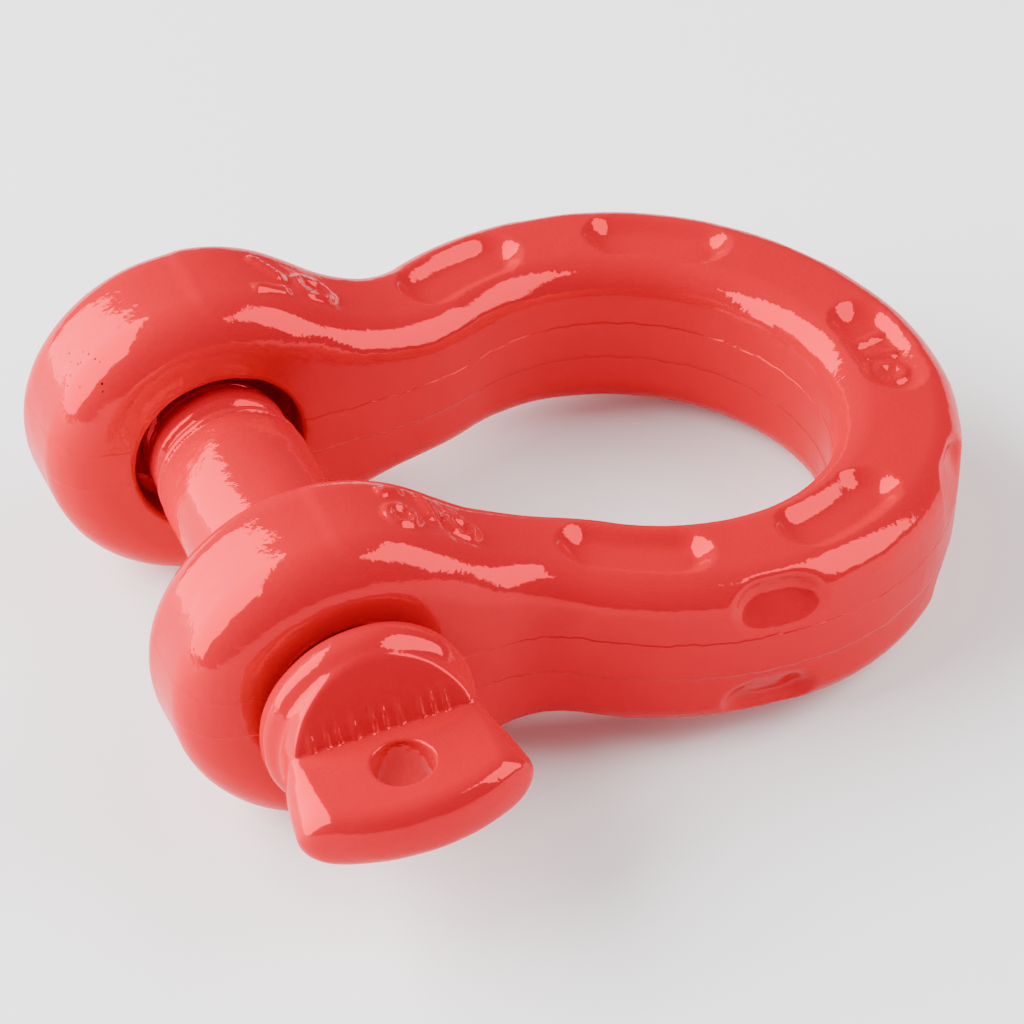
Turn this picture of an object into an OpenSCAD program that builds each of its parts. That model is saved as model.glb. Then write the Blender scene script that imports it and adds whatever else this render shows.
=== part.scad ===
// Screw-pin bow shackle, 3/4 inch (4.75 t) class.
// Origin on the pin's axis, midway between the ears. +X runs to the crown of the bow,
// +Y along the pin from its eye to its thread, and +Z is square to the plane of the bow.

/* [Pin] */
// Diameter of the plain shank
pin_d = 22; // [21.8:0.1:22.4]
// Outer diameter of the screw thread
thread_d = 20; // [18:0.5:20]
// Distance the pin moves in one turn
thread_pitch = 2.5; // [2:0.5:3]
// How far the thread stands out of the far ear
thread_proud = 1.5; // [0:0.5:3]
// Gap left between the collar and the near ear
collar_gap = 1.5; // [1.4:0.1:2]
// Diameter of the collar
collar_d = 30; // [28:1:36]
// Thickness of the collar
collar_t = 5.5; // [4:0.5:7]

/* [Eye of the pin] */
// Thickness of the flattened eye
eye_t = 9; // [7:0.5:10]
// Width of the eye where it leaves the collar
eye_root_w = 25; // [22:0.5:26]
// Width of the eye at its outer end
eye_end_w = 31.5; // [28:0.5:34]
// Distance from the collar to the corners of the eye's outer end
eye_l = 17; // [16:0.5:20]
// How far the eye's outer end bows out past its corners
eye_bulge = 5; // [3:0.5:6]
// Diameter of the lanyard hole
lanyard_d = 8.5; // [7:0.5:10]
// Distance from the collar to the centre of the lanyard hole
lanyard_at = 12; // [11:0.5:13]
// Angle of the eye about the pin's axis when the pin is home
eye_angle = 9; // [0:1:30]

/* [Ears] */
// Clear distance between the ears
jaw = 34; // [32:0.5:36]
// Thickness of each ear
ear_t = 22; // [20:0.5:24]
// Diameter of each ear
ear_d = 47; // [46:0.5:50]
// Radius round the rim of each ear
ear_round = 7.5; // [6:0.5:8]
// Diameter of the plain hole in the near ear
near_hole_d = 24; // [23.8:0.1:24.4]
// Mouth of the countersink in the far ear
mouth_d = 25.6; // [25:0.2:27]
// Depth of that countersink
mouth_depth = 3; // [2:0.5:4]

/* [Bow] */
// Radius of the bow's centreline round the crown
crown_r = 37.5; // [36:0.5:40]
// Distance from the pin's axis to the centre of the crown
crown_x = 55; // [52:1:60]
// Radius of the neck's centreline, between ear and bow
neck_r = 30; // [28:1:34]
// Width of the section, in the plane of the bow
bar_w = 17.5; // [16:0.5:19]
// Height of the section, square to the plane of the bow
bar_h = 24; // [22:0.5:25]
// Radius on the corners of the section
bar_round = 5; // [4:0.5:6]
// Distance from the pin's axis over which the ear fairs into the bar
fairing_l = 34; // [30:1:35]

/* [Pockets] */
// Angle of the side pockets nearest the crown, from the crown's centre
pocket_angle = 64; // [60:1:66]
// Angle of the side pockets nearest the ears
neck_pocket_angle = 113; // [110:1:114]
// Length of a pocket, from end to end
pocket_l = 21; // [16:1:22]
// Width of a pocket
pocket_w = 9; // [7:0.5:10]
// Depth of a pocket
pocket_depth = 1.6; // [1:0.1:2]
// Angle of the corner scoops nearest the crown
scoop_angle = 35; // [32:1:38]
// Angle of the corner scoops nearest the ears
neck_scoop_angle = 87; // [84:1:90]
// Depth of a corner scoop, square to the corner
scoop_depth = 2.4; // [1.6:0.2:3]
// Length of a corner scoop along the bar
scoop_l = 14; // [10:1:16]
// How far a corner scoop reaches from the corner of the section
scoop_reach = 8; // [6:0.5:9]

/* [Hidden] */
$fn = 64;

ear_y = (jaw + ear_t) / 2;
ear_face = jaw / 2 + ear_t;
collar_back = -ear_face - collar_gap;
collar_front = collar_back - collar_t;

// The neck's arc and the crown's arc meet where both lie at this angle to the X axis
neck_turn = acos((ear_y + neck_r) / (crown_r + neck_r));
neck_x = crown_x - (crown_r + neck_r) * sin(neck_turn);

// The swept bar ends inside the ear, a little narrower and lower than the ear is
buried = 0.2;
buried_w = ear_t - 2 * buried;
buried_h = 0.9 * ear_d;
straight_gap = 4;
station_gap = 2.4;
corner_steps = 4;
// Places across the flat top of the section, from its middle (0) to its edge (1)
flat_places = [0.2, 0.62, 1];

shoulder_y = 12.5;
shoulder_chamfer = 1;
relief_d = 20.4;
relief_l = 6;
thread_end = ear_face + thread_proud;
thread_chamfer = 1.2;
thread_clearance = 0.1;
near_hole_chamfer = 1;

collar_round = 2.2;
stub_d = 27;
stub_back = 1;
stub_l = 5.5;

function smooth(t) = let (u = min(1, max(0, t))) u * u * (3 - 2 * u);
function mix(a, b, t) = a + (b - a) * t;

// How far a station at x has turned from plain bar into ear, in height and in width
function rise(x) = smooth((fairing_l - x) / fairing_l);
function spread(x) = smooth((neck_x - x) / neck_x);

// Steps from a0 to a1, about station_gap apart on an arc of radius r
function arc_steps(a0, a1, r) =
    let (n = ceil(abs(a1 - a0) * PI / 180 * r / station_gap))
    [for (i = [1:n]) mix(a0, a1, i / n)];

// Stations along the centreline, [x, y, heading, angle round the crown], near ear to crown.
// Off the crown's own arc, that angle carries on at the same length of bar for each degree.
half_path = concat(
    [for (x = [0:straight_gap:neck_x - 1]) [x, -ear_y, 0, -180]],
    [for (a = concat([0], arc_steps(0, neck_turn, neck_r)))
        [neck_x + neck_r * sin(a), -ear_y - neck_r * (1 - cos(a)), -a,
         -90 - neck_turn - (neck_turn - a) * neck_r / crown_r]],
    [for (a = arc_steps(-90 - neck_turn, 0, crown_r))
        [crown_x + crown_r * cos(a), crown_r * sin(a), a + 90, a]]
);
last = len(half_path) - 1;
path = concat(half_path, [for (i = [last - 1:-1:0]) let (s = half_path[i]) [s[0], -s[1], 180 - s[2], -s[3]]]);

pocket_angles = [0, pocket_angle, -pocket_angle, neck_pocket_angle, -neck_pocket_angle];
scoop_angles = [scoop_angle, -scoop_angle, neck_scoop_angle, -neck_scoop_angle];

// Length of bar between two angles round the crown
function between(a, b) = abs(a - b) * PI / 180 * crown_r;

// A flat-bottomed bowl: 1 in the middle, 0 from t = 1 outwards
function bowl(t) = 1 - min(1, t) ^ 4;

// How deep the pockets are at angle a and at distance u across the bar
function pocket_dip(a, u) =
    let (half_l = (pocket_l - pocket_w) / 2)
    pocket_depth * max([for (b = pocket_angles)
        bowl(norm([max(0, between(a, b) - half_l), u]) / (pocket_w / 2))]);

// How deep the scoops are at angle a and at distance d from the section's outer corner
function scoop_dip(a, d) =
    scoop_depth * max([for (b = scoop_angles) bowl(between(a, b) / (scoop_l / 2))])
        * (1 - smooth(d / scoop_reach));

// Upper half of the section, from its inner side over the top to its outer side, as [across, up]
function half_outline(w, h, r) =
    let (quarter = [for (i = [0:corner_steps - 1])
             let (a = 90 * i / corner_steps)
             [w / 2 - r + r * cos(a), h / 2 - r + r * sin(a)]],
         flat = [for (i = [len(flat_places) - 1:-1:0]) [flat_places[i] * (w / 2 - r), h / 2]],
         inner = concat(quarter, flat))
    concat(inner, [for (i = [len(inner) - 1:-1:0]) [-inner[i][0], inner[i][1]]]);

// A point of the upper half, pushed in where a scoop or a pocket is
function dented(p, w, h, a) =
    let (push = scoop_dip(a, norm(p - [-w / 2, h / 2])) * sqrt(0.5),
         top = p[1] > h / 2 - 0.01)
    [p[0] + push, p[1] - push - (top ? pocket_dip(a, p[0]) : 0)];

// The section at one station, as points in space
function ring(s) =
    let (w = mix(bar_w, buried_w, spread(s[0])),
         h = mix(bar_h, buried_h, rise(s[0])),
         r = mix(bar_round, ear_round, rise(s[0])),
         upper = [for (p = half_outline(w, h, r)) dented(p, w, h, s[3])],
         whole = concat(upper, [for (i = [len(upper) - 1:-1:0]) [upper[i][0], -upper[i][1]]]))
    [for (p = whole) [s[0] - p[0] * sin(s[2]), s[1] + p[0] * cos(s[2]), p[1]]];

// A solid through a list of closed rings that all have the same number of points
module skin(rings) {
    n = len(rings[0]);
    m = len(rings);
    polyhedron(
        points = [for (r = rings, p = r) p],
        faces = concat(
            [[for (i = [0:n - 1]) i]],
            [for (k = [0:m - 2], i = [0:n - 1]) let (a = k * n + i, b = k * n + (i + 1) % n) [a, a + n, b]],
            [for (k = [0:m - 2], i = [0:n - 1]) let (a = k * n + i, b = k * n + (i + 1) % n) [b, a + n, b + n]],
            [[for (i = [n - 1:-1:0]) (m - 1) * n + i]]
        )
    );
}

// Turns a profile drawn as [radius, distance along +Y] about the pin's axis
module turned() {
    rotate([-90, 0, 0]) rotate_extrude() children();
}

module ear_disc() {
    turned() union() {
        square([ear_d / 2 - ear_round, ear_t]);
        translate([0, ear_round]) square([ear_d / 2, ear_t - 2 * ear_round]);
        for (y = [ear_round, ear_t - ear_round])
            translate([ear_d / 2 - ear_round, y]) circle(ear_round);
    }
}

module near_hole() {
    turned() polygon([
        [0, -1],
        [near_hole_d / 2 + near_hole_chamfer + 1, -1],
        [near_hole_d / 2, near_hole_chamfer],
        [near_hole_d / 2, ear_t - near_hole_chamfer],
        [near_hole_d / 2 + near_hole_chamfer + 1, ear_t + 1],
        [0, ear_t + 1]
    ]);
}

module far_hole() {
    hole_r = thread_d / 2 + thread_clearance;
    slope = (mouth_d / 2 - hole_r) / mouth_depth;
    turned() polygon([
        [0, -1],
        [mouth_d / 2 + slope, -1],
        [hole_r, mouth_depth],
        [hole_r, ear_t - thread_chamfer],
        [hole_r + thread_chamfer + 1, ear_t + 1],
        [0, ear_t + 1]
    ]);
}

// The forging: bow, legs and both ears in one piece
module bow() {
    color("red") difference() {
        union() {
            skin([for (s = path) ring(s)]);
            for (y = [-ear_face, jaw / 2]) translate([0, y, 0]) ear_disc();
        }
        translate([0, -ear_face, 0]) near_hole();
        translate([0, jaw / 2, 0]) far_hole();
    }
}

// The plain bearing length of the pin, from the collar to the shoulder
module pin_shank() {
    color("red") turned() polygon([
        [0, collar_back],
        [pin_d / 2, collar_back],
        [pin_d / 2, shoulder_y - shoulder_chamfer],
        [pin_d / 2 - shoulder_chamfer, shoulder_y],
        [0, shoulder_y]
    ]);
}

// The thread and the relief behind it
module pin_thread() {
    color("red") turned() polygon([
        [0, shoulder_y],
        [pin_d / 2 - shoulder_chamfer, shoulder_y],
        [relief_d / 2, shoulder_y + shoulder_chamfer],
        [relief_d / 2, shoulder_y + relief_l - 1],
        [thread_d / 2, shoulder_y + relief_l],
        [thread_d / 2, thread_end - thread_chamfer],
        [thread_d / 2 - thread_chamfer, thread_end],
        [0, thread_end]
    ]);
}

module collar() {
    turned() translate([0, collar_front]) union() {
        square([collar_d / 2 - collar_round, collar_t]);
        translate([0, collar_round]) square([collar_d / 2, collar_t - 2 * collar_round]);
        for (y = [collar_round, collar_t - collar_round])
            translate([collar_d / 2 - collar_round, y]) circle(collar_round);
    }
}

// The round stub in front of the collar, pressed flat above and below towards the eye
module stub() {
    intersection() {
        turned() translate([0, collar_front - stub_l]) square([stub_d / 2, stub_l + 1]);
        rotate([90, 0, 90]) linear_extrude(height = stub_d, center = true) polygon([
            [collar_front + 1, stub_d / 2],
            [collar_front - stub_back, stub_d / 2],
            [collar_front - stub_l, eye_t / 2],
            [collar_front - stub_l, -eye_t / 2],
            [collar_front - stub_back, -stub_d / 2],
            [collar_front + 1, -stub_d / 2]
        ]);
    }
}

// The eye's outline: straight flanks that spread towards a bowed outer end
module eye_outline() {
    end_r = (eye_end_w * eye_end_w / 4 + eye_bulge * eye_bulge) / (2 * eye_bulge);
    corner_y = collar_front - eye_l;
    polygon([
        [eye_root_w / 2, collar_front + 1],
        [eye_end_w / 2, corner_y],
        [-eye_end_w / 2, corner_y],
        [-eye_root_w / 2, collar_front + 1]
    ]);
    intersection() {
        translate([0, corner_y - eye_bulge + end_r]) circle(end_r);
        translate([-eye_end_w / 2, corner_y - eye_bulge]) square([eye_end_w, eye_bulge + 1]);
    }
}

// Collar, stub and flattened eye with its lanyard hole
module pin_head() {
    color("red") rotate([0, -eye_angle, 0]) difference() {
        union() {
            collar();
            stub();
            linear_extrude(height = eye_t, center = true) eye_outline();
        }
        translate([0, collar_front - lanyard_at, 0]) cylinder(h = 2 * eye_t, d = lanyard_d, center = true);
    }
}

bow();
pin_shank();
pin_thread();
pin_head();
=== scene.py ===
"""A screw-pin bow shackle, coated red: the finished surfaces of its two forgings, on a pale studio floor."""
import math

import bpy
import numpy as np
from mathutils import Matrix, Vector


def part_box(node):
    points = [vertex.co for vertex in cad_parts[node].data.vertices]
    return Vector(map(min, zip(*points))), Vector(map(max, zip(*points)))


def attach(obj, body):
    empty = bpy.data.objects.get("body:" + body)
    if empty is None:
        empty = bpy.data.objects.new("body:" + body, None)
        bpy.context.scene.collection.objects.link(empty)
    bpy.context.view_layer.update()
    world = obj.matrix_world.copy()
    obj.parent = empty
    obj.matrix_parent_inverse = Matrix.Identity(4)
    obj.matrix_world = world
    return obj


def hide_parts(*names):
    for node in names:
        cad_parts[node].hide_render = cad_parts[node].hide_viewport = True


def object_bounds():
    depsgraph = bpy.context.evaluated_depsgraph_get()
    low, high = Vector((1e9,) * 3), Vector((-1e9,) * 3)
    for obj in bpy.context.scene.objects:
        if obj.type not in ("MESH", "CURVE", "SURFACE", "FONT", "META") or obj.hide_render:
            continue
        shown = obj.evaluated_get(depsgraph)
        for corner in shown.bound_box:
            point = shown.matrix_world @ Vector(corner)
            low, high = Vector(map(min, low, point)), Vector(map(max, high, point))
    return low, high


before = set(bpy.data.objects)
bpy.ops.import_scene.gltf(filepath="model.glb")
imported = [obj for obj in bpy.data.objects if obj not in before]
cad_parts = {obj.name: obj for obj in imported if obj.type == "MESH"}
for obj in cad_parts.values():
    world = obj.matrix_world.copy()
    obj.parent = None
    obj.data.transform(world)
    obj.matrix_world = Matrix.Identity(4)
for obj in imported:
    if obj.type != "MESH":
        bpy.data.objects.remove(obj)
low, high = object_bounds()

MM = 0.001

# ---------------------------------------------------------------- sizes, in millimetres
bow_low, bow_high = (np.array(corner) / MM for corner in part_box("bow"))
shank_low, shank_high = (np.array(corner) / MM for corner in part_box("pin_shank"))
thread_high = np.array(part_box("pin_thread")[1]) / MM
head_low = np.array(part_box("pin_head")[0]) / MM

# the bar of the bow, its ears, and the fairing between them
BAR_W = 17.5
BAR_H = 24.4
BAR_ROUND = 4.8
BAR_CROWN = 0.3
WALL_DRAFT = 0.3
EAR_T = 22.0
JAW = 34.0
EAR_R = bow_high[2] - 0.5
EAR_ROUND = 6.8
EAR_STRETCH = 0.8
EAR_FILLET = 4.0
EAR_Y = (JAW + EAR_T) / 2
FAIRING_L = 34.0
FAIRING_RISE = 0.9 * EAR_R - BAR_H / 2
WIDENING_START = FAIRING_L - 4
WIDENING_L = FAIRING_L - 12

# the centreline: a round crown, then a neck that curves the other way into each ear
NECK_R = 30.0
CROWN_R = bow_high[1] - BAR_W / 2
CROWN_X = bow_high[0] - bow_high[1]
NECK_TURN = math.acos((EAR_Y + NECK_R) / (CROWN_R + NECK_R))
NECK_X = CROWN_X - (CROWN_R + NECK_R) * math.sin(NECK_TURN)
CROWN_L = CROWN_R * (math.pi / 2 + NECK_TURN)
NECK_L = NECK_R * NECK_TURN

# the crown's shoulders stand a little proud of the circle
SHOULDER, SHOULDER_L = 0.5, 15.0
SHOULDER_AT = math.radians(62) * CROWN_R
# pockets in the flats and scoops out of the outer corners, by their places along the centreline
POCKETS = [math.radians(angle) * CROWN_R for angle in (0, 64, 113)]
POCKET_L, POCKET_W, POCKET_DEPTH, POCKET_WALL = 22.0, 10.0, 2.1, 3.2
SCOOPS = [math.radians(angle) * CROWN_R for angle in (35, 87)]
SCOOP_L, SCOOP_W, SCOOP_DROP, SCOOP_FLOOR = 10.5, 7.6, 3.8, 3.6
SCOOP_SLOPE = math.radians(28)

# the holes in the ears
NEAR_HOLE_R = 12.0
MOUTH_R, MOUTH_DEPTH, MOUTH_BLEND = 12.4, 5.0, 1.5
HOLE_EDGE = 1.0

# raised marks: shape, place in x and y, half length or radius, turn
MARK_HEIGHT, MARK_REACH = 0.75, 6.0
MARKS = [
    ("bar", 9.0, EAR_Y - 3.6, 2.6, 0.1),
    ("bar", 10.0, EAR_Y + 1.6, 2.8, 2.3),
    ("ring", 16.5, EAR_Y - 0.6, 2.4, 0),
    ("ring", 8.6, -EAR_Y - 1.4, 1.9, 0),
    ("bar", 8.6, -EAR_Y + 4.0, 1.8, 0.4),
    ("bar", 13.4, -EAR_Y + 1.6, 2.6, 1.6),
    ("ring", 17.6, -EAR_Y - 0.6, 1.9, 0),
    ("bar", CROWN_X + CROWN_R - 0.3, 3.6, 2.4, 0.3),
    ("bar", CROWN_X + CROWN_R, 0.0, 2.4, -0.2),
    ("ring", CROWN_X + CROWN_R - 0.2, -4.4, 1.9, 0),
]

# the pin's shank and thread
PIN_R = shank_high[0]
SHOULDER_Y = shank_high[1]
SHANK_EDGE = 2.0
THREAD_END = thread_high[1]
THREAD_R, THREAD_ROOT, PITCH = 10.0, 8.7, 2.5
THREAD_GAP = 0.3
RELIEF_R, RELIEF_L = thread_high[0], 6.0
GROOVE_AT, GROOVE_HALF_W, GROOVE_DEPTH = SHOULDER_Y + 1.9, 1.6, 0.8
BEAD_R, BEAD_AT = 0.9, SHOULDER_Y + 0.4
TIP_EDGE = 0.6

# the pin's collar, and the stub that is cut away to the flat eye
COLLAR_BACK = shank_low[1]
COLLAR_FRONT = COLLAR_BACK - 5.5
COLLAR_R, COLLAR_ROUND = 15.0, 2.4
STUB_R, STUB_L = 13.5, 6.5
WALL_START, WALL_L = 0.6, 4.6
CREASE_Y = COLLAR_FRONT - 5.0
EYE_ANGLE = math.radians(9)
EYE_T = 9.0
EYE_END = head_low[1] - 0.4
EYE_CORNER = COLLAR_FRONT - 17.0
EYE_ROOT_W, EYE_END_W, EYE_SWELL = 26.0, 33.2, 2.0
END_CROWN = 0.07
LANYARD_Y, LANYARD_R = COLLAR_FRONT - 12.0, 4.25
TOOL_MARK = 0.42


# ---------------------------------------------------------------- shapes as distance fields
def smooth_min(a, b, k):
    """The union of two fields, with a fillet about k wide."""
    h = np.maximum(k - np.abs(a - b), 0) / k
    return np.minimum(a, b) - h * h * k / 4


def smooth_max(a, b, k):
    """The intersection of two fields, with its edge rounded."""
    return -smooth_min(-a, -b, k)


def cut(a, b, k):
    """Field a with b taken out of it."""
    return smooth_max(a, -b, k)


def step(t):
    """From 0 to 1 as t does, with a smooth start and finish."""
    t = np.clip(t, 0, 1)
    return t * t * (3 - 2 * t)


def corner(a, b, r):
    """Where both fields are inside, with an edge of radius r."""
    return np.hypot(np.maximum(a + r, 0), np.maximum(b + r, 0)) + np.minimum(np.maximum(a, b) + r, 0) - r


def rounded(x, y, half_x, half_y, r):
    """A rectangle with round corners."""
    return corner(np.abs(x) - half_x, np.abs(y) - half_y, r)


def stadium(x, y, length, width):
    """An oval with straight sides."""
    return np.hypot(np.maximum(np.abs(x) - (length - width) / 2, 0), y) - width / 2


_rng = np.random.default_rng(11)
_waves = _rng.normal(size=(24, 3))
_waves /= np.linalg.norm(_waves, axis=1)[:, None]
_phases = _rng.uniform(0, 2 * math.pi, 24)
_scales = _rng.uniform(0.7, 1.5, 24)


def lumps(p, size):
    """A smooth random field from about -1 to 1, with lumps about size across."""
    k = 2 * math.pi / (2 * size)
    return np.sin(p @ (_waves * (_scales * k)[:, None]).T + _phases).sum(1) / 6


def thread_form(x, y, z):
    """How far a right-hand thread stands out of its root."""
    ridge = np.abs((y / PITCH - np.arctan2(x, z) / (2 * math.pi)) % 1 - 0.5) * 2
    return (THREAD_R - THREAD_ROOT) * step((ridge - 0.1) / 0.8)


# ---------------------------------------------------------------- the bow
def centreline(x, y):
    """Where a point lies on the bow: (distance out from the centreline, length along it from the crown)."""
    y = np.abs(y)
    dx = x - CROWN_X
    phi = np.arctan2(y, dx)
    nx, ny = x - NECK_X, EAR_Y + NECK_R - y
    turn = np.arctan2(nx, ny)
    crown = phi < math.pi / 2 + NECK_TURN
    out = np.where(crown, np.hypot(dx, y) - CROWN_R, np.where(nx > 0, NECK_R - np.hypot(nx, ny), y - EAR_Y))
    along = np.where(crown, CROWN_R * phi,
                     np.where(nx > 0, CROWN_L + NECK_R * (NECK_TURN - turn), CROWN_L + NECK_L - nx))
    return out, along


def bar_and_ears(x, z, out, along):
    """The solid bow: a side view of the bar and the ear first, then their thickness."""
    up = np.abs(z)
    rise = step((FAIRING_L - x) / FAIRING_L)
    spread = step((WIDENING_START - x) / WIDENING_L)
    half_w = (BAR_W + spread * (EAR_T - BAR_W)) / 2
    half_w = half_w + np.where(out > 0, SHOULDER * np.exp(-((along - SHOULDER_AT) / SHOULDER_L) ** 2), 0)
    half_h = BAR_H / 2 + rise * FAIRING_RISE
    ear = np.hypot(np.where(x < 0, x * EAR_R / (EAR_R + EAR_STRETCH), x), z) - EAR_R
    bar = smooth_max(up - half_h - BAR_CROWN * (1 - (out / half_w) ** 2), -x, 1.0)
    draft = WALL_DRAFT * (1 - rise) * (0.5 - (up / half_h) ** 2)
    edge = BAR_ROUND + rise * (EAR_ROUND - BAR_ROUND)
    return corner(smooth_min(bar, ear, EAR_FILLET), np.abs(out) - half_w - draft, edge)


def pocket(out, along, up, place):
    """How deep the flat is sunk by the pocket at a place along the bow."""
    sunk = -stadium(along - place, out, POCKET_L, POCKET_W) / POCKET_WALL
    bowl = 0.5 * step(sunk) + 0.5 * np.sin(np.clip(sunk, 0, 1) * math.pi / 2)
    # the sinking dies away from 9 down to 6 mm over the middle of the bar
    return POCKET_DEPTH * bowl * step((up - 6) / 3)


def scoop(out, along, up, place):
    """The slanting oval cutter that takes out the corner at a place along the bow."""
    a, b = out - BAR_W / 2, up - BAR_H / 2
    depth = a * math.cos(SCOOP_SLOPE) + b * math.sin(SCOOP_SLOPE)
    side = b * math.cos(SCOOP_SLOPE) - a * math.sin(SCOOP_SLOPE)
    oval = stadium(along - place, side + SCOOP_DROP, SCOOP_L, SCOOP_W)
    return smooth_max(oval, -SCOOP_FLOOR - depth, 2.5)


def ear_holes(x, y, z):
    """The threaded hole with its wide mouth in the far ear, and the plain one in the near ear."""
    radius = np.hypot(x, z)
    depth = y - JAW / 2
    thread = THREAD_ROOT + THREAD_GAP + thread_form(x, y, z)
    bore = thread + (MOUTH_R - thread) * step((MOUTH_DEPTH + MOUTH_BLEND - depth) / MOUTH_BLEND)
    return np.where(y > 0, radius - bore, radius - NEAR_HOLE_R)


def bow_field(p):
    x, y, z = p.T
    up = np.abs(z)
    out, along = centreline(x, y)
    d = bar_and_ears(x, z, out, along)
    for place in POCKETS:
        d = d + pocket(out, along, up, place)
    for place in SCOOPS:
        d = cut(d, scoop(out, along, up, place), 1.2)
    return cut(d, ear_holes(x, y, z), HOLE_EDGE)


def mark(d, shape, x, y, size, turn):
    """A raised bar or ring, drawn on the face that d is the field of."""
    c, s = math.cos(turn), math.sin(turn)
    bar = rounded(x * c + y * s, y * c - x * s, size, 0.8, 0.6)
    edge = np.abs(np.hypot(x, y) - size) - 0.65 if shape == "ring" else bar
    return d - MARK_HEIGHT * step((0.6 - edge) / 1.2)


def bow_detail(p):
    """The bow with its lumpy paint, and plain marks in place of the maker's lettering."""
    d = bow_field(p) - 0.06 * lumps(p, 9.0) - 0.02 * lumps(p + 40, 3.0)
    x, y, z = p.T
    for shape, mark_x, mark_y, size, turn in MARKS:
        u, v = x - mark_x, y - mark_y
        d = np.where((z > 0) & (np.hypot(u, v) < MARK_REACH), mark(d, shape, u, v, size, turn), d)
    return d


# ---------------------------------------------------------------- the pin
def eye_axes(x, z):
    """Across the eye's flats, and square to them."""
    c, s = math.cos(EYE_ANGLE), math.sin(EYE_ANGLE)
    return x * c + z * s, np.abs(z * c - x * s)


def shank_and_thread(x, y, z, radius):
    middle, half_l = (SHOULDER_Y + COLLAR_FRONT) / 2, (SHOULDER_Y - COLLAR_FRONT) / 2
    shank = rounded(radius, y - middle, PIN_R, half_l, SHANK_EDGE)
    bead = np.hypot(radius - PIN_R + BEAD_R + 0.2, y - BEAD_AT) - BEAD_R
    groove = RELIEF_R - GROOVE_DEPTH * step(1 - np.abs(y - GROOVE_AT) / GROOVE_HALF_W)
    surface_r = np.where(y < SHOULDER_Y + RELIEF_L, groove, THREAD_ROOT + thread_form(x, y, z))
    tail = smooth_max(radius - surface_r, np.maximum(y - THREAD_END, SHOULDER_Y - 6 - y), TIP_EDGE)
    tail = smooth_max(tail, (radius + y - THREAD_END - THREAD_ROOT) * 0.7, TIP_EDGE)
    return smooth_min(np.minimum(shank, tail * 0.8), bead, 0.3)


def stub_of_eye(radius, up, lie):
    """The round stub in front of the collar, with a wall that slopes down to each flat."""
    stub = smooth_max(radius - STUB_R, np.maximum(lie - STUB_L, -lie - 2), 0.8)
    wall = ((up - STUB_R) + (STUB_R - EYE_T / 2) * (lie - WALL_START) / WALL_L) * 0.6
    return smooth_max(stub, wall, 0.8)


def fan_of_eye(across, up, y, lie):
    """The flat that widens to a bulging end. Its flanks swell past the flats, more so towards the end."""
    spread = np.clip(lie / (COLLAR_FRONT - EYE_CORNER), 0, 1.4)
    half_w = (EYE_ROOT_W + (EYE_END_W - EYE_ROOT_W) * spread) / 2
    half_w = half_w + EYE_SWELL * spread * np.maximum(1 - spread, 0)
    inset = 0.8 + 3.4 * spread
    flank = 0.85 * (np.abs(across) - half_w + inset * np.minimum(2 * up / EYE_T, 1.5) ** 2)
    bulge = EYE_CORNER - EYE_END
    end_r = (EYE_END_W ** 2 / 4 + bulge ** 2) / (2 * bulge)
    end = np.hypot(across, y - (EYE_END + end_r)) - end_r + END_CROWN * up ** 2
    end = np.where(lie > 0, end, -lie - 2)
    flat = up - EYE_T / 2
    return smooth_max(smooth_max(flank, end, 1.8), smooth_max(end, flat, 2.2), 0.8)


def pin_field(p):
    x, y, z = p.T
    radius = np.hypot(x, z)
    across, up = eye_axes(x, z)
    lie = COLLAR_FRONT - y
    middle, half_l = (COLLAR_BACK + COLLAR_FRONT) / 2, (COLLAR_BACK - COLLAR_FRONT) / 2
    collar = rounded(radius, y - middle, COLLAR_R, half_l, COLLAR_ROUND)
    head = smooth_min(collar, stub_of_eye(radius, up, lie), 1.2)
    head = smooth_min(head, fan_of_eye(across, up, y, lie), 0.15)
    head = cut(head, np.hypot(across, y - LANYARD_Y) - LANYARD_R, 0.5)
    return smooth_min(shank_and_thread(x, y, z, radius), head, 0.8)


def pin_detail(p):
    """The pin with its lumpy paint, and tool marks that run down the sloping walls to the crease."""
    x, y, z = p.T
    across, up = eye_axes(x, z)
    teeth = (0.5 + 0.5 * np.sin(across * 2.9 + 1.3 * np.sin(across * 0.9))) ** 4
    fade = step((y - CREASE_Y + 0.7) / 0.4) * step((CREASE_Y + 1.9 - y) / 1.8)
    fade = fade * step((up - EYE_T / 2 + 0.1) / 0.4) * step((STUB_R - np.hypot(x, z)) / 2)
    d = pin_field(p) - TOOL_MARK * teeth * fade
    return d - 0.04 * lumps(p + 80, 6.0) - 0.015 * lumps(p + 10, 2.5)


# ---------------------------------------------------------------- meshes from the fields
def sample(field, lo, step_mm, shape):
    """The field on a grid, worked out a slab at a time."""
    values = np.empty(shape, np.float32)
    ys, zs = np.meshgrid(np.arange(shape[1]), np.arange(shape[2]), indexing="ij")
    for i in range(shape[0]):
        slab = np.stack([np.full(ys.size, i), ys.ravel(), zs.ravel()], 1)
        values[i] = field(lo + step_mm * slab).reshape(shape[1:])
    return values


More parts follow.
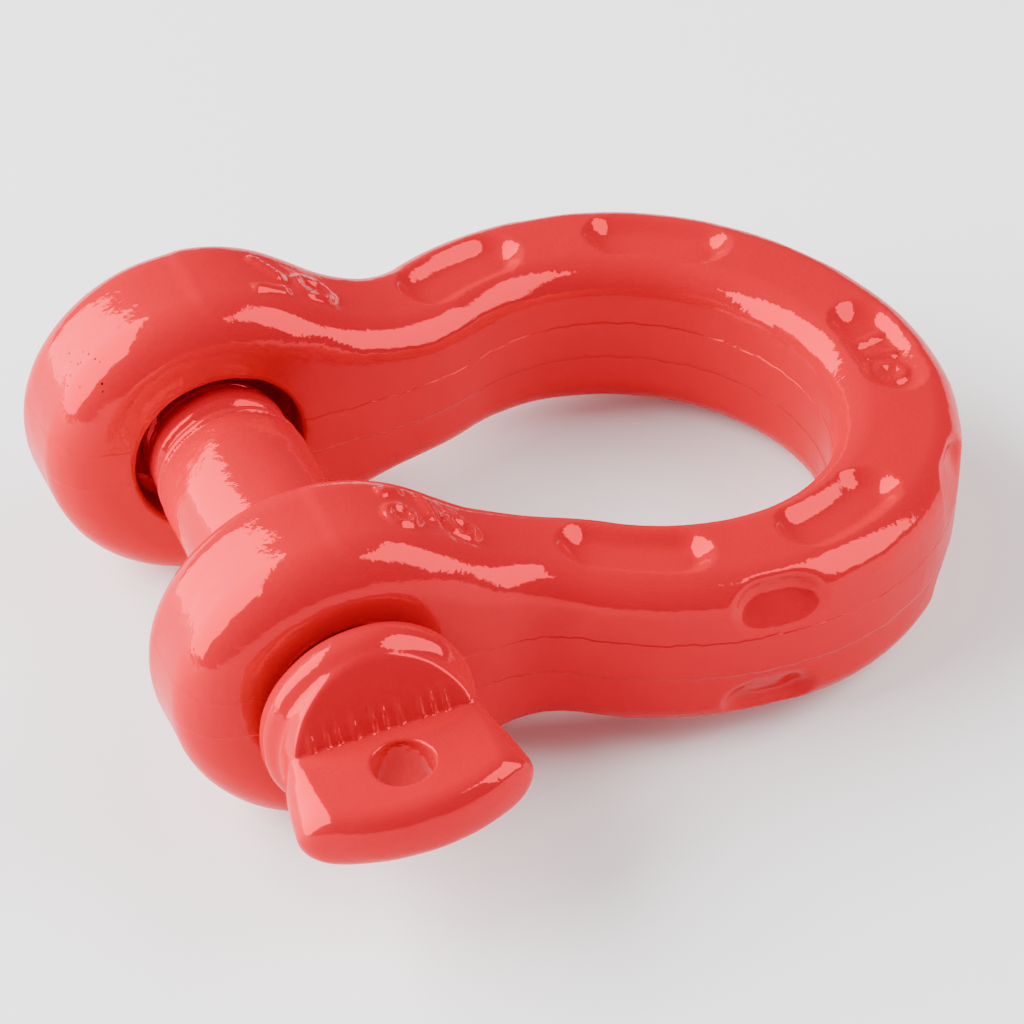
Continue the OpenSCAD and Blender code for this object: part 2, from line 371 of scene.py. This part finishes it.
def crossings(values, shape, axis):
    """The grid's edges along an axis that cross the surface: a loop of four cells and a point for each."""
    u, v = (axis + 1) % 3, (axis + 2) % 3
    first = np.take(values, np.arange(shape[axis] - 1), axis)
    second = np.take(values, np.arange(1, shape[axis]), axis)
    here = np.argwhere((first < 0) != (second < 0))
    f0, f1 = first[tuple(here.T)], second[tuple(here.T)]
    at = here.astype(float)
    at[:, axis] += f0 / (f0 - f1)
    corners = []
    for du, dv in ((0, 0), (1, 0), (1, 1), (0, 1)):
        cell = here.copy()
        cell[:, u] -= du
        cell[:, v] -= dv
        corners.append(np.ravel_multi_index(cell.T, shape))
    loop = np.stack(corners, 1)
    loop[f0 > 0] = loop[f0 > 0][:, ::-1]
    return loop, np.repeat(at, 4, 0)


def gradient(field, p, h=0.05):
    """The field's value and slope at each point."""
    slope = np.stack([(field(p + h * e) - field(p - h * e)) / (2 * h) for e in np.eye(3)], 1)
    return field(p), slope


def surface(field, detail, lo, hi, step_mm):
    """A closed quad mesh of a field's zero surface, drawn on to the detailed field."""
    shape = np.ceil((hi - lo) / step_mm).astype(int) + 1
    values = sample(field, lo, step_mm, shape)
    loops, points = zip(*(crossings(values, shape, axis) for axis in range(3)))
    loops, points = np.concatenate(loops), np.concatenate(points)
    # each crossing counts once for each cell round its edge, in the order of the loop's own corners
    cells, index = np.unique(loops.ravel(), return_inverse=True)
    count = np.bincount(index)
    verts = np.stack([np.bincount(index, points[:, k]) / count for k in range(3)], 1)
    verts = lo + step_mm * verts
    for _ in range(5):
        d, g = gradient(detail, verts)
        verts -= g * (d / np.maximum((g * g).sum(1), 0.2))[:, None]
    normals = gradient(detail, verts)[1]
    normals /= np.linalg.norm(normals, axis=1)[:, None]
    return verts, index.reshape(-1, 4), normals


def forged(name, field, detail, lo, hi, step_mm, material, body, *nodes):
    """One forging as a mesh that rides on its body and stands for its CAD nodes."""
    verts, faces, normals = surface(field, detail, np.array(lo, float), np.array(hi, float), step_mm)
    mesh = bpy.data.meshes.new(name)
    mesh.from_pydata(verts * MM, [], faces.tolist())
    mesh.validate()
    mesh.shade_smooth()
    mesh.normals_split_custom_set_from_vertices(normals)
    piece = bpy.data.objects.new(name, mesh)
    bpy.context.scene.collection.objects.link(piece)
    mesh.materials.append(material)
    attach(piece, body)
    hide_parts(*nodes)


# ---------------------------------------------------------------- materials
RED = (0.55, 0.002, 0.014, 1)
# the near-black red below is painted shade: the dark inside of small pits, put on as colour with no hollow
# in the mesh
PIT_SHADE_RED = (0.06, 0.001, 0.001, 1)


def principled(name, **values):
    """A material and its shader, with the shader's own sockets set."""
    material = bpy.data.materials.new(name)
    material.use_nodes = True
    shader = material.node_tree.nodes["Principled BSDF"]
    for socket, value in values.items():
        shader.inputs[socket.replace("_", " ")].default_value = value
    return material, shader


def node_maker(tree):
    """A function that adds a node to the tree, with its inputs set or linked."""
    def node(kind, inputs, **settings):
        made = tree.nodes.new("ShaderNode" + kind)
        for key, value in settings.items():
            setattr(made, key, value)
        for key, value in inputs.items():
            if isinstance(value, bpy.types.NodeSocket):
                tree.links.new(value, made.inputs[key])
            else:
                made.inputs[key].default_value = value
        return made
    return node


def paint_relief(node, place):
    """An orange peel, and waves drawn out down the upright walls."""
    peel = node("TexNoise", {"Vector": place, "Scale": 380, "Detail": 3})
    bump = node("Bump", {"Height": peel.outputs["Fac"], "Strength": 0.2, "Distance": 0.5 * MM})
    drawn = node("Mapping", {"Vector": place, "Scale": (1, 1, 0.16)})
    waves = node("TexNoise", {"Vector": drawn.outputs["Vector"], "Scale": 1300, "Detail": 2})
    return node("Bump", {"Height": waves.outputs["Fac"], "Strength": 0.07, "Distance": 0.3 * MM,
                         "Normal": bump.outputs["Normal"]})


def flash_land(node, place, bump):
    """The low ragged land that trimmed flash leaves along the middle of the walls, faint on the ears."""
    apart = node("SeparateXYZ", {"Vector": place})
    height = node("Math", {0: apart.outputs["Z"]}, operation="ABSOLUTE").outputs["Value"]
    ragged = node("TexNoise", {"Vector": place, "Scale": 400, "Detail": 3}).outputs["Fac"]
    height = node("Math", {0: ragged, 1: MM, 2: height}, operation="MULTIPLY_ADD").outputs["Value"]
    land = node("MapRange", {"Value": height, "From Min": 3.3 * MM, "From Max": 3.7 * MM,
                             "To Min": 1, "To Max": 0}, interpolation_type="SMOOTHSTEP")
    faint = node("MapRange", {"Value": apart.outputs["X"], "From Min": 0.0, "From Max": 30 * MM,
                              "To Min": 0.3, "To Max": 0.9})
    return node("Bump", {"Height": land.outputs["Result"], "Strength": faint.outputs["Result"],
                         "Distance": 0.2 * MM, "Normal": bump.outputs["Normal"]})


def pit_shade_mask(node, place):
    """Dark spots in patches on the toe of the far ear only: painted shade in place of small pit holes."""
    spots = node("TexVoronoi", {"Vector": place, "Scale": 900})
    spot = node("MapRange", {"Value": spots.outputs["Distance"], "From Min": 0.12, "From Max": 0.2,
                             "To Min": 1, "To Max": 0})
    patches = node("TexNoise", {"Vector": place, "Scale": 60, "Detail": 0})
    patch = node("MapRange", {"Value": patches.outputs["Fac"], "From Min": 0.56, "From Max": 0.57})
    pit_shade = node("Math", {0: spot.outputs["Result"], 1: patch.outputs["Result"]}, operation="MULTIPLY")
    apart = node("SeparateXYZ", {"Vector": place})
    for axis, clean, pitted in (("X", -16, -17), ("Y", 16, 17)):
        toe = node("MapRange", {"Value": apart.outputs[axis],
                                "From Min": clean * MM, "From Max": pitted * MM})
        pit_shade = node("Math", {0: pit_shade.outputs["Value"], 1: toe.outputs["Result"]}, operation="MULTIPLY")
    return pit_shade


def red_coat(name, flash):
    """Thick glossy paint. Its metallic fraction tints what it mirrors red, under a thin clear skin."""
    material, shader = principled(name, Roughness=0.05, Metallic=0.25, Specular_IOR_Level=0.0,
                                  Coat_Weight=0.2, Coat_Roughness=0.03, Coat_IOR=1.31)
    tree = material.node_tree
    node = node_maker(tree)
    place = node("TexCoord", {}).outputs["Object"]
    bump = paint_relief(node, place)
    if flash:
        bump = flash_land(node, place, bump)
    tree.links.new(bump.outputs["Normal"], shader.inputs["Normal"])
    tree.links.new(bump.outputs["Normal"], shader.inputs["Coat Normal"])
    # dark spots of painted shade: the shade inside small pits, put on as colour
    pit_shade = pit_shade_mask(node, place)
    colour = node("Mix", {"Factor": pit_shade.outputs["Value"], "A": RED, "B": PIT_SHADE_RED}, data_type="RGBA")
    tree.links.new(next(o for o in colour.outputs if o.type == "RGBA"), shader.inputs["Base Color"])
    return material


# ---------------------------------------------------------------- the two forgings
BORDER = 1.5
BOW_GRID, PIN_GRID = 0.62, 0.37
HEAD_REACH = 17.5
forged("shackle_bow", bow_field, bow_detail, bow_low - BORDER, bow_high + BORDER, BOW_GRID,
       red_coat("red_coat_bow", True), "bow", "bow")
forged("screw_pin", pin_field, pin_detail, [-HEAD_REACH, EYE_END - BORDER, -HEAD_REACH],
       [HEAD_REACH, THREAD_END + BORDER, HEAD_REACH], PIN_GRID,
       red_coat("red_coat_pin", False), "pin", "pin_shank", "pin_thread", "pin_head")

# ---------------------------------------------------------------- floor
# The floor touches the ears and the crown's rounded lower edge, so it tips a little about the Y axis.
edge_x, edge_z = bow_high[0] - BAR_ROUND, BAR_H / 2 + BAR_CROWN - BAR_ROUND
FLOOR_TILT = math.asin((EAR_R - BAR_ROUND) / math.hypot(edge_x, edge_z)) - math.atan2(edge_z, edge_x)
PAINT_LUMPS = 0.1
white, _ = principled("floor_white", Base_Color=(0.9, 0.9, 0.9, 1), Roughness=0.9)
bpy.ops.mesh.primitive_plane_add(size=6)
floor = bpy.context.object
floor.name = "floor"
floor_up = Vector((-math.sin(FLOOR_TILT), 0, math.cos(FLOOR_TILT)))
floor.rotation_euler = (0, -FLOOR_TILT, 0)
floor.location = -floor_up * (EAR_R + PAINT_LUMPS) * MM
floor.data.materials.append(white)

# ---------------------------------------------------------------- light
world = bpy.data.worlds.new("studio")
bpy.context.scene.world = world
world.use_nodes = True
world.node_tree.nodes["Background"].inputs["Color"].default_value = (1, 1, 1, 1)
world.node_tree.nodes["Background"].inputs["Strength"].default_value = 0.25


def softbox(name, place, target, size, power):
    """A rectangular lamp that faces its target."""
    lamp = bpy.data.lights.new(name, "AREA")
    lamp.shape = "RECTANGLE"
    lamp.size, lamp.size_y = size
    lamp.energy = power
    ob = bpy.data.objects.new(name, lamp)
    bpy.context.scene.collection.objects.link(ob)
    ob.location = place
    ob.rotation_euler = (target - place).to_track_quat("-Z", "Y").to_euler()


def bearing(azimuth, elevation):
    """A direction: azimuth from +Y towards +X, elevation over the bow's plane, both in degrees."""
    a, e = math.radians(azimuth), math.radians(elevation)
    return Vector((math.sin(a) * math.cos(e), math.cos(a) * math.cos(e), math.sin(e)))


centre = (Vector(low) + Vector(high)) / 2
LAMP_DISTANCE = 0.9
# name, azimuth, elevation, width and height, power
for name, azimuth, elevation, size, power in (
        ("left", -68, 25, (1.22, 1.04), 50),
        ("right", 115, 38, (0.66, 0.80), 15)):
    softbox(name, centre + LAMP_DISTANCE * bearing(azimuth, elevation), centre, size, power)

# ---------------------------------------------------------------- camera
CAMERA_AZIMUTH, CAMERA_ELEVATION, ROLL = 180 + 24.0, 37.6, math.radians(4.8)
CAMERA_DISTANCE = 0.810
VIEW_W = 0.1424
SENSOR_W = 36
bow_centre = Vector((bow_low + bow_high) / 2 * MM)
aim = bow_centre + Vector((-4.375, -7.0, 0)) * MM
back = bearing(CAMERA_AZIMUTH, CAMERA_ELEVATION)
data = bpy.data.cameras.new("camera")
data.sensor_width = SENSOR_W
data.lens = SENSOR_W * CAMERA_DISTANCE / VIEW_W
data.clip_start, data.clip_end = 0.05, 20
camera = bpy.data.objects.new("camera", data)
bpy.context.scene.collection.objects.link(camera)
camera.location = aim + back * CAMERA_DISTANCE
turned = back.to_track_quat("Z", "Y") @ Matrix.Rotation(ROLL, 3, "Z").to_quaternion()
camera.rotation_euler = turned.to_euler()
bpy.context.scene.camera = camera
